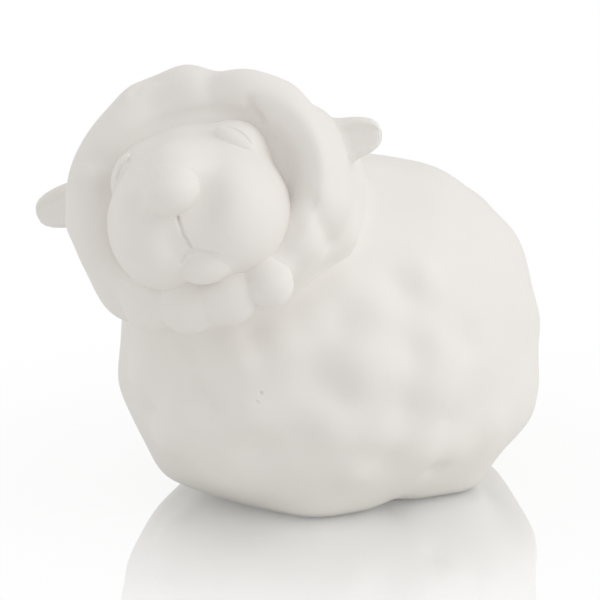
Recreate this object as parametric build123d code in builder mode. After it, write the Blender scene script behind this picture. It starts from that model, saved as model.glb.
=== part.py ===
"""Sheep figurine in white unglazed bisque, made of slip-cast shells with small sprigged pieces.

The sheep faces -Y with its left side on +X, and rests on its flat foot at Z = 0. The origin is on the
foot, straight below the middle of the body. The head is turned, raised and tilted, so its pieces are
drawn in the head's own planes. All lengths are in millimetres.
"""

import math
import os

from build123d import *

# Body fleece: a low egg, drawn from the foot up past its widest level to the crown
body_half_width = 55.5
body_half_length = 68.0
body_widest_height = 39.0
body_crown_rise = 57.5
body_belly_drop = 48.0
body_setback = 3.5
body_wall = 7.0
body_floor = 5.0
crown_fullness = 2.2
belly_fullness = 2.3
pour_hole_radius = 8.0
pour_hole_behind_middle = 26.0

# Four low feet that only swell the foot's outline
foot_half_spacing = 32.0
front_foot_forward = 25.0
hind_foot_behind = 24.0
foot_spread = 13.0
foot_rise = 4.0

# Wool lumps: low round swellings, spread evenly over a fleece, each a little off its place and size
body_lump_count = 84
body_lump_spread = 7.5
body_lump_rise = 1.7
head_lump_count = 46
head_lump_spread = 7.0
head_lump_rise = 1.8
lump_clearance = 9.0
lump_sway_share = 0.35
lump_size_share = 0.25
lump_sway_rhythms = (5, 7, 9)
lump_size_rhythm = 11

# Lumps and hollows of the left flank and breast, pressed by hand. Each has its bearing round the body and
# its climb above the widest level in degrees, then its spread and rise as shares of a wool lump's
flank_degrees_and_shares = (
    (-31, 11, 1.2, 1.9),
    (-42, 8, 0.9, -1.3),
    (-37, 2, 0.8, -1.0),
    (-8, 12, 1.1, 1.4),
    (-16, 14, 0.8, -1.2),
    (-25, 28, 0.9, 1.1),
    (-19, 33, 0.8, -0.9),
    (-9, 35, 0.9, 1.2),
    (-35, 35, 0.8, 0.8),
    (-53, 17, 0.9, 1.3),
    (-62, 21, 0.7, -0.9),
    (-39, -9, 0.9, 1.3),
    (-35, -28, 0.8, 1.1),
    (-14, -22, 0.9, 1.3),
    (-24, -25, 0.8, -0.9),
    (-2, -24, 0.8, 1.0),
    (10, -18, 0.8, 1.0),
    (-83, -9, 1.1, 1.0),
    (-73, 2, 0.8, -1.1),
    (-60, -17, 0.8, -0.9),
    (-76, -26, 1.1, 0.8),
    (-100, 6, 1.1, 0.8),
    (-62, -5, 0.9, 0.8),
)

# Head: its middle lies behind the eyes, and it looks up and to the sheep's left
head_forward = 47.0
head_height = 94.0
head_turn_degrees = 27.0
head_raise_degrees = 19.5
head_tilt_degrees = 18.2

# Head fleece: a hood round the face, widest behind the ears, with a thick rolled rim. The rim's crest
# reaches further out on the sheep's left and lies deeper there
hood_half_width = 42.0
hood_half_height = 37.0
hood_widest_behind = 7.0
hood_back_depth = 40.0
hood_front_depth = 23.0
hood_roll_depth = 18.0
hood_wall = 7.0
hood_ledge = 6.0
hood_crest_share = 0.8
crest_shift_left = 4.0
crest_tilt_degrees = 3.5

# Bowl inside the rim: a shallow trough round the face, deepest on the sheep's left and over the brow
bowl_depth = 5.0
bowl_share = 0.56
bowl_tilt_degrees = 6.7
bowl_nod_degrees = 5.5

# Full and slack places of the hood: out to the sheep's left, up and forward as shares of its half width,
# half height and front depth, then spread and rise as shares of its half width
hood_fullness_shares = (
    (0.81, 0.62, -0.42, 0.33, -0.11),
    (-0.29, 1.08, -0.08, 0.19, 0.05),
    (-0.67, 0.86, 0.0, 0.29, -0.08),
    (-1.05, -0.14, 0.08, 0.21, -0.08),
    (-0.9, -0.78, 0.17, 0.29, 0.14),
    (-0.22, 1.03, 0.12, 0.17, 0.05),
    (0.22, 0.96, -0.12, 0.19, 0.04),
    (-0.61, 0.63, 0.25, 0.16, 0.04),
    (0.92, -0.38, 0.42, 0.16, 0.05),
    (0.69, -0.66, 0.74, 0.14, 0.04),
    (-0.88, -0.26, 0.46, 0.19, 0.03),
)

# Face: a hollow mask with two jowls and a nose bridge, seated in a pocket of the hood
face_half_width = 26.0
face_top_rise = 19.5
face_chin_drop = 28.5
face_seat_depth = 10.0
face_front_depth = 45.5
face_wall = 7.5
face_front_wall = 10.0
face_vent_radius = 8.0

# Nose and lower lip: plain sprigs that sit on the face
nose_half_width = 8.3
nose_half_height = 6.9
nose_half_depth = 7.5
nose_drop = 4.6
nose_depth = 43.8
lip_half_width = 7.2
lip_half_height = 4.9
lip_half_depth = 5.5
lip_out = 2.0
lip_drop = 25.4
lip_depth = 30.0

# Eyes: almond sprigs, slanted down to the outside and turned with the brow
eye_half_length = 5.8
eye_half_height = 3.3
eye_half_depth = 3.0
eye_out = 17.0
eye_rise = 10.4
eye_depth = 24.4
eye_slant_degrees = 44.0
eye_turn_degrees = 32.0

# Ears: leaves that stand straight out of the hood, scooped in front
ear_tip_out = 53.3
ear_root_out = 33.0
ear_rise = 6.6
ear_depth = 4.0
ear_half_height = 7.0
ear_half_depth = 5.4
scoop_half_length = 9.5
scoop_half_height = 4.6
scoop_half_depth = 3.2

# Chin wool: round curls along the underside of the hood's rim
curl_count = 4
curl_half_width = 8.2
curl_half_height = 6.8
curl_half_depth = 6.0
curl_depth = 20.0
curl_first_degrees = -31.0
curl_pitch_degrees = 19.0
curl_ring_share = 0.91

# Tail: one tuft low on the rump
tail_half_width = 8.5
tail_half_height = 10.0
tail_half_length = 7.5
tail_height = 42.0

# How far a cutting form runs on past what it cuts
cut_overrun = 1.0

# Shares and angles of the rings that a form is lofted through
body_ring_points = 40
body_ring_count = 19
hood_ring_points = 30
body_last_degrees = 84
hood_back_degrees = -80
hood_back_rings = 7
hood_roll_degrees = (0, 42, 84)
bowl_degrees = (0, 60, 120, 180)
ear_station_shares = (0.0, 0.33, 0.51, 0.65, 0.79, 0.92)
ear_width_shares = (1.0, 0.97, 0.86, 0.73, 0.59, 0.40)


def swelling(point, lumps):
    """Return how far the lumps beside a point lift the surface there."""
    return sum(rise * math.exp(-(((point - middle).length / spread) ** 2)) for middle, spread, rise in lumps)


def wool_lumps(count, spread, rise, place_at, pressed):
    """Return lumps spread by the golden angle, apart from those beside a place that is pressed by hand."""
    golden_angle = math.pi * (3 - math.sqrt(5))
    sway = lump_sway_share * math.sqrt(4 * math.pi / count)
    lumps = []
    for index in range(count):
        height = 1 - (2 * index + 1) / count
        reach = math.sqrt(1 - height * height)
        bearing = golden_angle * index
        straight = Vector(reach * math.cos(bearing), reach * math.sin(bearing), height)
        off = Vector(*(sway * math.sin(rhythm * index) for rhythm in lump_sway_rhythms))
        middle = place_at((straight + off).normalized())
        size = 1 + lump_size_share * math.sin(lump_size_rhythm * index)
        if all((middle - other).length > lump_clearance for other, _, _ in pressed):
            lumps.append((middle, spread * size, rise * size))
    return lumps


def fullness_share(height_share, fullness):
    """Return an egg's width as a share of its widest, at a height above that level."""
    return (1 - height_share**fullness) ** (1 / fullness)


def ring_of_wool(plane, count, half_x, half_y, lift_at):
    """Return the points of one ring round a fleece, each pushed out as far as lift_at says."""
    points = []
    for step in range(count):
        angle = 2 * math.pi * step / count
        across, along = half_x * math.cos(angle), half_y * math.sin(angle)
        radius = math.hypot(across, along)
        grown = (radius + lift_at(plane.from_local_coords(Vector(across, along)))) / radius
        points.append((across * grown, along * grown))
    return points


def oval_ball(plane, half_width, half_height, half_depth):
    """Return an ellipsoid centred on a plane: width and height lie in it, depth stands on it."""
    with BuildPart() as ball:
        Sphere(radius=1)
        scale(by=(half_width, half_height, half_depth))
    return plane * ball.part


# The head's planes: one faces out along the gaze, one slices the face from the brow down
turn = math.radians(head_turn_degrees)
lift = math.radians(head_raise_degrees)
gaze = Vector(math.sin(turn) * math.cos(lift), -math.cos(turn) * math.cos(lift), math.sin(lift))
level_side = Vector(math.cos(turn), math.sin(turn), 0)
head_side = level_side.rotate(Axis((0, 0, 0), gaze), head_tilt_degrees)
head_middle = Vector(0, -head_forward, head_height)
head_plane = Plane(origin=head_middle, x_dir=head_side, z_dir=gaze)
slice_plane = Plane(origin=head_middle, x_dir=head_side, z_dir=head_side.cross(gaze))


def head_spot(out, rise, depth):
    """Return the head's plane moved out to the sheep's left, up the head and forward."""
    return Plane(head_plane.from_local_coords(Vector(out, rise, depth)), x_dir=head_side, z_dir=gaze)


def on_body(direction):
    """Return where a direction from the body's middle meets its plain form."""
    height = direction.Z
    above = height > 0
    width = fullness_share(abs(height), crown_fullness if above else belly_fullness)
    width /= math.hypot(direction.X, direction.Y)
    level = body_widest_height + height * (body_crown_rise if above else body_belly_drop)
    back = 0 if above else body_setback * (1 - level / body_widest_height)
    return Vector(body_half_width * width * direction.X, body_half_length * width * direction.Y + back, level)


# Outer form of the body
flank_lumps = []
for bearing_degrees, climb_degrees, spread_share, rise_share in flank_degrees_and_shares:
    bearing = math.radians(bearing_degrees)
    climb = math.radians(climb_degrees)
    direction = Vector(math.cos(bearing) * math.cos(climb), math.sin(bearing) * math.cos(climb), math.sin(climb))
    flank_lumps.append((on_body(direction), body_lump_spread * spread_share, body_lump_rise * rise_share))
body_lumps = [
    *flank_lumps,
    *wool_lumps(body_lump_count, body_lump_spread, body_lump_rise, on_body, flank_lumps),
]
feet = [
    (Vector(side * foot_half_spacing, along, 0), foot_spread, foot_rise)
    for side in (-1, 1)
    for along in (-front_foot_forward, hind_foot_behind)
]
body_foot_degrees = -math.degrees(math.asin(body_widest_height / body_belly_drop))

with BuildPart() as body_form:
    for ring in range(body_ring_count):
        climb = (body_last_degrees - body_foot_degrees) * ring / (body_ring_count - 1)
        latitude = math.radians(body_foot_degrees + climb)
        above = latitude > 0
        level = body_widest_height + math.sin(latitude) * (body_crown_rise if above else body_belly_drop)
        width = fullness_share(abs(math.sin(latitude)), crown_fullness if above else belly_fullness)
        setback = 0 if above else body_setback * (1 - level / body_widest_height)
        slice_of_body = Plane((0, setback, level))
        outline = ring_of_wool(
            slice_of_body,
            body_ring_points,
            body_half_width * width,
            body_half_length * width,
            lambda point: math.cos(latitude) * swelling(point, body_lumps) + swelling(point, feet),
        )
        with BuildSketch(slice_of_body):
            with BuildLine():
                Spline(outline, periodic=True)
            make_face()
    loft(sections=[*body_form.pending_faces, Vertex(0, 0, body_widest_height + body_crown_rise)])

# Smooth hollow of the body: a round-ended core, cut flat above the floor
core_radius = body_half_width - body_wall
core_half_straight = body_half_length - body_wall - core_radius
with BuildPart() as body_hollow:
    with Locations((0, 0, body_widest_height)):
        Cylinder(radius=core_radius, height=2 * core_half_straight, rotation=(90, 0, 0))
        with Locations((0, -core_half_straight, 0), (0, core_half_straight, 0)):
            Sphere(radius=core_radius)
    split(bisect_by=Plane.XY.offset(body_floor), keep=Keep.TOP)

with BuildPart() as body_fleece:
    add(body_form.part)
    add(body_hollow.part, mode=Mode.SUBTRACT)
    with BuildSketch(Plane.XY.offset(-cut_overrun)):
        with Locations((0, pour_hole_behind_middle)):
            Circle(pour_hole_radius)
    extrude(amount=body_floor + 2 * cut_overrun, mode=Mode.SUBTRACT)
body_fleece.part.label = "body_fleece"


def on_hood(direction):
    """Return where a direction from the head's middle meets the hood's plain dome."""
    in_front = direction.Z > 0
    reach = hood_front_depth + hood_widest_behind if in_front else hood_back_depth - hood_widest_behind
    forward = reach * direction.Z - hood_widest_behind
    return head_spot(hood_half_width * direction.X, hood_half_height * direction.Y, forward).origin


# Outer form of the hood: a dome behind, and a rim that rolls in towards the face in front
hood_places = [
    (
        head_spot(hood_half_width * out, hood_half_height * up, hood_front_depth * forward).origin,
        hood_half_width * spread_share,
        hood_half_width * rise_share,
    )
    for out, up, forward, spread_share, rise_share in hood_fullness_shares
]
head_lumps = [
    *hood_places,
    *wool_lumps(head_lump_count, head_lump_spread, head_lump_rise, on_hood, hood_places),
]

# Each ring of the hood: its depth, its width and steepness as shares, and how much of the crest's shift
hood_rings = []
for ring in range(hood_back_rings):
    latitude = math.radians(hood_back_degrees * (1 - ring / hood_back_rings))
    depth = (hood_back_depth - hood_widest_behind) * math.sin(latitude) - hood_widest_behind
    hood_rings.append((depth, math.cos(latitude), math.cos(latitude), 0))
for degrees in hood_roll_degrees:
    angle = math.radians(degrees)
    depth = hood_front_depth - hood_roll_depth * (1 - math.sin(angle))
    width = hood_crest_share + (1 - hood_crest_share) * math.cos(angle)
    hood_rings.append((depth, width, math.cos(angle), math.sin(angle)))

with BuildPart() as hood_form:
    for depth, width, steepness, shifted in hood_rings:
        shift = crest_shift_left / 2 * shifted
        middle = head_spot(shift, 0, depth)
        slice_of_hood = middle.rotated((0, crest_tilt_degrees * shifted, 0))
        outline = ring_of_wool(
            slice_of_hood,
            hood_ring_points,
            hood_half_width * width + shift,
            hood_half_height * width,
            lambda point: steepness * swelling(point, head_lumps),
        )
        with BuildSketch(slice_of_hood):
            with BuildLine():
                Spline(outline, periodic=True)
            make_face()
    loft(sections=[Vertex(*head_spot(0, 0, -hood_back_depth).origin), *hood_form.pending_faces])

# Bowl inside the rim, where the face sits: a trough that falls from the roll's crest
with BuildPart() as hood_bowl:
    for degrees in bowl_degrees:
        fall = (1 - math.cos(math.radians(degrees))) / 2
        inward = degrees / bowl_degrees[-1]
        shift = crest_shift_left / 2 * (1 - inward)
        width = hood_crest_share + (bowl_share - hood_crest_share) * inward
        tilt = crest_tilt_degrees + (bowl_tilt_degrees - crest_tilt_degrees) * fall
        middle = head_spot(shift, 0, hood_front_depth - bowl_depth * fall)
        with BuildSketch(middle.rotated((-bowl_nod_degrees * fall, tilt, 0))):
            Ellipse(hood_half_width * width + shift, hood_half_height * width)
    loft()
    crest = head_spot(crest_shift_left / 2, 0, hood_front_depth).rotated((0, crest_tilt_degrees, 0))
    with BuildSketch(crest.offset(-cut_overrun / 2)):
        Ellipse(
            hood_half_width * hood_crest_share + crest_shift_left / 2,
            hood_half_height * hood_crest_share,
        )
    extrude(amount=2 * cut_overrun)

# Smooth hollow of the hood: a round core behind the ledge that carries the face
hood_core_radius = hood_half_height - hood_wall
with BuildPart() as hood_hollow:
    with Locations(head_spot(0, 0, hood_core_radius + hood_wall - hood_back_depth)):
        Sphere(radius=hood_core_radius)
    split(bisect_by=head_plane.offset(face_seat_depth - hood_ledge), keep=Keep.BOTTOM)

# Outer form and hollow of the face, lofted through level slices from the brow down to the chin. Each
# slice: its place from brow to chin, its width, its depth, and how far its middle sinks in, as shares.
# The middle stands out, as the nose bridge, where that last share is negative
face_slice_shares = (
    (0.00, 0.20, 0.21, 0.00),
    (0.04, 0.50, 0.33, -0.02),
    (0.20, 0.82, 0.62, -0.11),
    (0.33, 0.87, 0.86, -0.07),
    (0.57, 1.00, 1.01, 0.04),
    (0.83, 0.90, 0.90, 0.14),
    (0.97, 0.60, 0.60, 0.18),
    (1.00, 0.34, 0.38, 0.12),
)
crossing_shares = (0.88, 0.55, 0.27)
jowl_place_share = 0.5
slice_fullness = 2.4
face_height = face_top_rise + face_chin_drop
face_depth = face_front_depth - face_seat_depth


def face_slice(half_width, depth, cleft):
    """Return points across the face's front at one level, from its right edge to its left."""
    right = []
    for share in crossing_shares:
        near_middle = max(0, 1 - share / jowl_place_share)
        right.append((-share * half_width, depth * fullness_share(share, slice_fullness) - cleft * near_middle))
    left = [(-out, forward) for out, forward in reversed(right)]
    return [(-half_width, 0), *right, (0, depth - cleft), *left, (half_width, 0)]


with BuildPart() as face_form:
    for fall, width, depth, cleft in face_slice_shares:
        level = slice_plane.offset(-face_top_rise + face_height * fall)
        seat = Plane(level.from_local_coords(Vector(0, face_seat_depth, 0)), x_dir=level.x_dir, z_dir=level.z_dir)
        with BuildSketch(seat):
            with BuildLine():
                front = Spline(
                    face_slice(face_half_width * width, face_depth * depth, face_depth * cleft),
                    tangents=((0, 1), (0, -1)),
                )
                Line(front @ 1, front @ 0)
            make_face()
    loft()

face_core_radius = face_half_width - face_wall
face_core_middle = head_spot(
    0, face_top_rise - face_height / 2, face_front_depth - face_front_wall - face_core_radius
)
with BuildPart() as face_hollow:
    with Locations(face_core_middle):
        Sphere(radius=face_core_radius)

with BuildPart() as head_fleece:
    add(hood_form.part)
    add(hood_bowl.part, mode=Mode.SUBTRACT)
    add(hood_hollow.part, mode=Mode.SUBTRACT)
    with BuildSketch(head_plane.offset(face_seat_depth + cut_overrun)):
        Circle(face_vent_radius)
    extrude(amount=-(hood_ledge + 2 * cut_overrun), mode=Mode.SUBTRACT)
    add(face_form.part, mode=Mode.SUBTRACT)
    add(body_form.part, mode=Mode.SUBTRACT)
head_fleece.part.label = "head_fleece"

with BuildPart() as face:
    add(face_form.part)
    add(face_hollow.part, mode=Mode.SUBTRACT)
    add(body_form.part, mode=Mode.SUBTRACT)
face.part.label = "face"

# Nose and lower lip, each cut where it beds on the face
nose_plane = head_spot(0, -nose_drop, nose_depth)
with BuildPart() as nose:
    add(oval_ball(nose_plane, nose_half_width, nose_half_height, nose_half_depth))
    add(face_form.part, mode=Mode.SUBTRACT)
nose.part.label = "nose"

lip_plane = head_spot(lip_out, -lip_drop, lip_depth)
with BuildPart() as lower_lip:
    add(oval_ball(lip_plane, lip_half_width, lip_half_height, lip_half_depth))
    add(face_form.part, mode=Mode.SUBTRACT)
    add(hood_form.part, mode=Mode.SUBTRACT)
lower_lip.part.label = "lower_lip"


def make_eye(side):
    """Return one eye, on the sheep's left where side is 1 and on its right where it is -1."""
    seat = head_spot(side * eye_out, eye_rise, eye_depth)
    turned = seat.rotated((0, side * eye_turn_degrees, 0)).rotated((0, 0, -side * eye_slant_degrees))
    with BuildPart() as eye:
        add(oval_ball(turned, eye_half_length, eye_half_height, eye_half_depth))
        add(face_form.part, mode=Mode.SUBTRACT)
    return eye.part


left_eye = make_eye(1)
left_eye.label = "left_eye"
right_eye = make_eye(-1)
right_eye.label = "right_eye"


def make_ear(side):
    """Return one ear, on the sheep's left where side is 1 and on its right where it is -1."""
    length = ear_tip_out - ear_root_out
    with BuildPart() as ear:
        for station, width in zip(ear_station_shares, ear_width_shares):
            root = head_spot(side * (ear_root_out + length * station), ear_rise, ear_depth)
            with BuildSketch(Plane(root.origin, x_dir=gaze, z_dir=head_side * side)):
                Ellipse(ear_half_depth * width, ear_half_height * width)
        tip = head_spot(side * ear_tip_out, ear_rise, ear_depth)
        loft(sections=[*ear.pending_faces, Vertex(*tip.origin)])
        scoop = head_spot(side * (hood_half_width + ear_half_height), ear_rise, ear_depth + ear_half_depth)
        add(oval_ball(scoop, scoop_half_length, scoop_half_height, scoop_half_depth), mode=Mode.SUBTRACT)
        add(hood_form.part, mode=Mode.SUBTRACT)
    return ear.part


left_ear = make_ear(1)
left_ear.label = "left_ear"
right_ear = make_ear(-1)
right_ear.label = "right_ear"

# Chin curls: separate balls in a row, each cut by the shells and by the curl before it
curl_balls = []
for index in range(curl_count):
    angle = math.radians(curl_first_degrees + curl_pitch_degrees * index)
    out = hood_half_width * curl_ring_share * math.sin(angle)
    rise = -hood_half_height * curl_ring_share * math.cos(angle)
    curl_plane = head_spot(out, rise, curl_depth)
    curl_balls.append(oval_ball(curl_plane, curl_half_width, curl_half_height, curl_half_depth))

curls = []
for index, curl_ball in enumerate(curl_balls):
    with BuildPart() as curl:
        add(curl_ball)
        for earlier in curl_balls[:index][-1:]:
            add(earlier, mode=Mode.SUBTRACT)
        add(hood_form.part, mode=Mode.SUBTRACT)
        add(face_form.part, mode=Mode.SUBTRACT)
        add(body_form.part, mode=Mode.SUBTRACT)
        add(oval_ball(lip_plane, lip_half_width, lip_half_height, lip_half_depth), mode=Mode.SUBTRACT)
    curls.extend(curl.part.solids())
chin_curls = Compound(children=curls)
chin_curls.label = "chin_curls"

# Tail tuft, bedded on the rump
tail_plane = Plane(origin=(0, body_half_length, tail_height), x_dir=(1, 0, 0), z_dir=(0, 1, 0))
with BuildPart() as tail:
    add(oval_ball(tail_plane, tail_half_width, tail_half_height, tail_half_length))
    add(body_form.part, mode=Mode.SUBTRACT)
tail.part.label = "tail"

os.makedirs("parts", exist_ok=True)
pieces = (
    body_fleece.part,
    head_fleece.part,
    face.part,
    nose.part,
    lower_lip.part,
    left_eye,
    right_eye,
    left_ear,
    right_ear,
    chin_curls,
    tail.part,
)
for piece in pieces:
    export_step(piece, f"parts/{piece.label}.step")
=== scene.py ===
"""Sheep figurine in white unglazed bisque: its skins, finish, floor, lights and camera.

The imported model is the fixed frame. The sheep faces -Y, with its left side on +X, and stands on
Z = 0. Skins are modelled in millimetres, as clay is: a plain form first, then swellings, hollows
and incised lines, and a soft joint wherever one piece of clay was luted to the next. They are
turned to metres last.
"""

from __future__ import annotations

import logging
import math
from collections.abc import Callable, Iterable, Mapping, Sequence
from dataclasses import dataclass, field
from enum import Enum
from typing import Any

import bmesh
import bpy
import numpy as np
from mathutils import Matrix, Quaternion, Vector
from mathutils.bvhtree import BVHTree

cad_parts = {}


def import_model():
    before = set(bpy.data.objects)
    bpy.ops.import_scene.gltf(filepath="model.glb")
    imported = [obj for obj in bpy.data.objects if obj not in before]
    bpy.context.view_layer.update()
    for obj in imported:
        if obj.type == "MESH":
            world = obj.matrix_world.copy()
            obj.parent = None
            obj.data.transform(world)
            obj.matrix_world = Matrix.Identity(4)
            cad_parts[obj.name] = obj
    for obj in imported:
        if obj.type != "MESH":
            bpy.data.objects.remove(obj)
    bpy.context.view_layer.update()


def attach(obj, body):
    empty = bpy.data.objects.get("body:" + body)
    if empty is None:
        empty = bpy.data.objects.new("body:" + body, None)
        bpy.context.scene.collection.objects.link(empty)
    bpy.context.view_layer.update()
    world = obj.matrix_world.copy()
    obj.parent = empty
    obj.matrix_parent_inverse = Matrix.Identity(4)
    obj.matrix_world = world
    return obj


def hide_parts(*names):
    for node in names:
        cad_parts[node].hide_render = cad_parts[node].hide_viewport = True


LOG = logging.getLogger("sheep")
MM = 0.001
TINY = 1e-6
GOLDEN_ANGLE = math.pi * (3 - math.sqrt(5))
WHITE = "#FFFFFF"
# The sheep's left and its right, in the order of every pair of sizes
SIDES = (1, -1)
# Edges of a piece that turn by more than this are shaded sharp
SHARP_DEGREES = 50.0

Points = np.ndarray
Pair = tuple[float, float]
Triple = tuple[float, float, float]
Quad = tuple[float, float, float, float]
Pixel = Pair


def kept(entries: dict) -> Any:
    """Return a dataclass field that starts as a table of named values."""
    return field(default_factory=entries.copy)


class Fineness(Enum):
    """How finely a ball of clay is divided: each step has four times the faces of the last."""

    COARSE = 5
    SPRIG = 6
    SHELL = 7


@dataclass(frozen=True)
class Dab:
    """A touch of the tool where a pixel of the photograph sees the clay; hollows rise below 0."""

    pixel: Pixel
    radius: float
    rise: float


@dataclass(frozen=True)
class Swell:
    """A broad fullness of the form, or a slackness, at a place in its piece's axes."""

    place: Triple
    radius: float
    rise: float


@dataclass(frozen=True)
class Incision:
    """A line cut into the clay, along the places where pixels of the photograph see it."""

    pixels: tuple[Pixel, ...]
    half_width: float
    depth: float


@dataclass(frozen=True)
class PhotoView:
    """The camera that saw the figurine, in millimetres."""

    target: Vector = field(default_factory=lambda: Vector((-15.9, 3.2, 50.4)))
    azimuth_degrees: float = 45.0
    elevation_degrees: float = 15.0
    distance: float = 1500.0
    field_width: float = 180.0
    frame_pixels: float = 600.0

    def toward(self) -> Vector:
        """Work out the direction from the target to the camera.

        Returns:
            The direction, of unit length.
        """
        azimuth = math.radians(self.azimuth_degrees)
        elevation = math.radians(self.elevation_degrees)
        level = Vector((math.sin(azimuth), -math.cos(azimuth), 0)) * math.cos(elevation)
        return level + Vector((0, 0, math.sin(elevation)))

    def place(self) -> Vector:
        """Return where the camera stands."""
        return self.target + self.toward() * self.distance

    def ray(self, pixel: Pixel) -> Vector:
        """Return the direction in which the camera looks through a pixel.

        Args:
            pixel: A place in the photograph, right and down from its upper left corner.

        Returns:
            The direction, of unit length.
        """
        right = Vector((0, 0, 1)).cross(self.toward()).normalized()
        up = self.toward().cross(right)
        step = self.field_width / self.frame_pixels
        across = (pixel[0] - self.frame_pixels / 2) * step
        climb = (self.frame_pixels / 2 - pixel[1]) * step
        return (self.target + right * across + up * climb - self.place()).normalized()

    def seen_at(self, pixel: Pixel, skin: BVHTree) -> Vector | None:
        """Return where a pixel of the photograph sees a skin, or None where it misses."""
        return skin.ray_cast(self.place(), self.ray(pixel))[0]


@dataclass(frozen=True)
class HeadAxes:
    """The head's own axes: out to the sheep's left, up the head, and forward along its gaze."""

    middle: Vector = field(default_factory=lambda: Vector((0, -47, 94)))
    turn_degrees: float = 27.0
    raise_degrees: float = 19.5
    tilt_degrees: float = 18.2

    def turned(self) -> Matrix:
        """Work out the turning from the head's axes to the sheep's.

        Returns:
            The turning, with the head's axes as its columns.
        """
        turn, lift = math.radians(self.turn_degrees), math.radians(self.raise_degrees)
        level = math.cos(lift)
        gaze = Vector((math.sin(turn) * level, -math.cos(turn) * level, math.sin(lift)))
        side = Vector((math.cos(turn), math.sin(turn), 0))
        side.rotate(Quaternion(gaze, math.radians(self.tilt_degrees)))
        return Matrix((side, gaze.cross(side), gaze)).transposed()

    def placed(self, points: Points) -> Points:
        """Return points given in the head's axes as places on the sheep."""
        return points @ np.array(self.turned()).T + np.array(self.middle)

    def local(self, points: Points) -> Points:
        """Return places on the sheep in the head's axes."""
        return (points - np.array(self.middle)) @ np.array(self.turned())

    def spot(self, out: float, rise: float, depth: float) -> Vector:
        """Return one place on the sheep, given in the head's axes."""
        return self.middle + self.turned() @ Vector((out, rise, depth))


def bell(distances: Points, radius: float) -> Points:
    """Return the share of a stroke's height that reaches each distance from its middle."""
    return np.exp(-((distances / radius) ** 2))


def mound(points: Points, middle: Sequence[float], radius: float) -> Points:
    """Return the share of a round stroke's height that reaches each point."""
    return bell(np.linalg.norm(points - np.array(middle), axis=1), radius)


def off_course(points: Points, course: Sequence[Points]) -> Points:
    """Measure how far points lie from a course of straight runs.

    Args:
        points: The points, one row each.
        course: The ends of the runs, one after the other.

    Returns:
        The distance of each point from the nearest run.
    """
    nearest = np.full(len(points), np.inf)
    for start, end in zip(course, course[1:]):
        run = end - start
        share = np.clip((points - start) @ run / (run @ run), 0, 1)
        off = np.linalg.norm(points - start - share[:, None] * run, axis=1)
        nearest = np.minimum(nearest, off)
    return nearest


def eased(values: Points, low: float, high: float) -> Points:
    """Return 0 below low, 1 above high, and a smooth climb between them."""
    share = np.clip((values - low) / (high - low), 0, 1)
    return share * share * (3 - 2 * share)


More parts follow.
